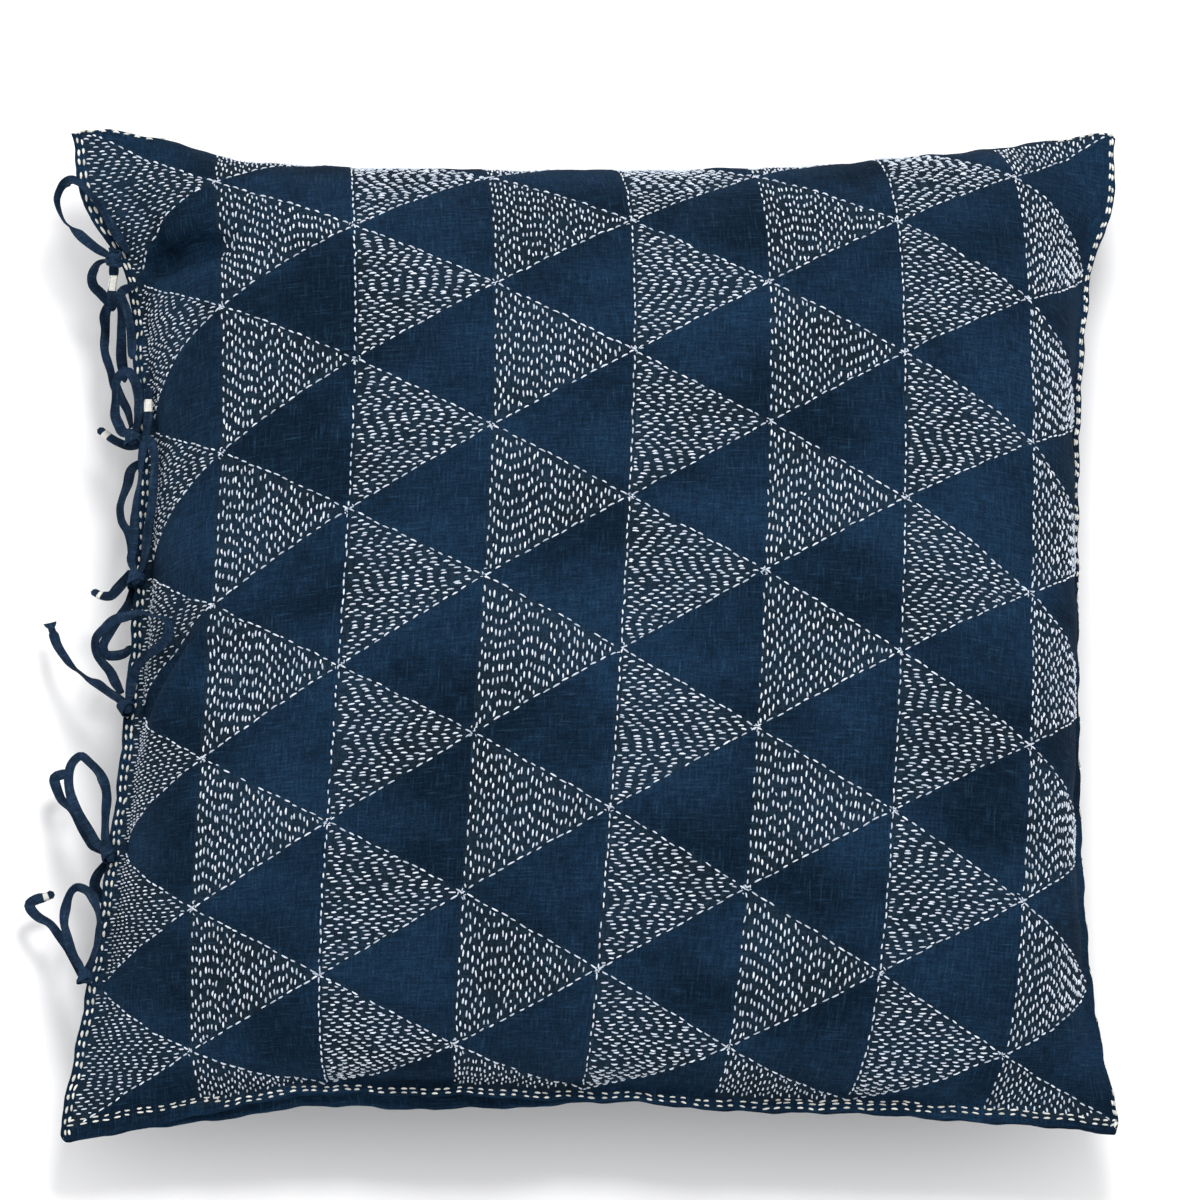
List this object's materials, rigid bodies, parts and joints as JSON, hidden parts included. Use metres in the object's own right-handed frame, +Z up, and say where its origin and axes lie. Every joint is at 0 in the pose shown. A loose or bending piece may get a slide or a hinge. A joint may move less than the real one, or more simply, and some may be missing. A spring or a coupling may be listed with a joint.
{
  "type": "kantha cushion",
  "caption": "Square filled cushion in a cotton cover with a running-stitched triangle pattern and one side tied shut with tapes.",
  "frame": {"origin": "under the middle of the cushion, on the surface it lies on", "axes": "+X across, away from the tied side; +Y along the tied side; +Z up, out of the stitched front"},
  "size_m": [0.583, 0.5619, 0.168],
  "materials": {
    "cloth": "matt hand-woven cotton, indigo, with cream running stitches",
    "tape": "matt hand-woven cotton tape, indigo"
  },
  "bodies": {
    "root": {"cushion": "cloth", "tie_1_front": "tape", "tie_1_back": "tape", "tie_2_front": "tape", "tie_2_back": "tape", "tie_3_front": "tape", "tie_3_back": "tape", "tie_4_front": "tape", "tie_4_back": "tape", "tie_5_front": "tape", "tie_5_back": "tape", "tie_6_front": "tape", "tie_6_back": "tape", "tie_1_under": "tape", "tie_2_lead": "tape", "tie_2_tail": "tape", "tie_3_tail": "tape", "tie_3_curl": "tape", "tie_3_end": "tape", "tie_5_stem": "tape"}
  },
  "joints": []
}
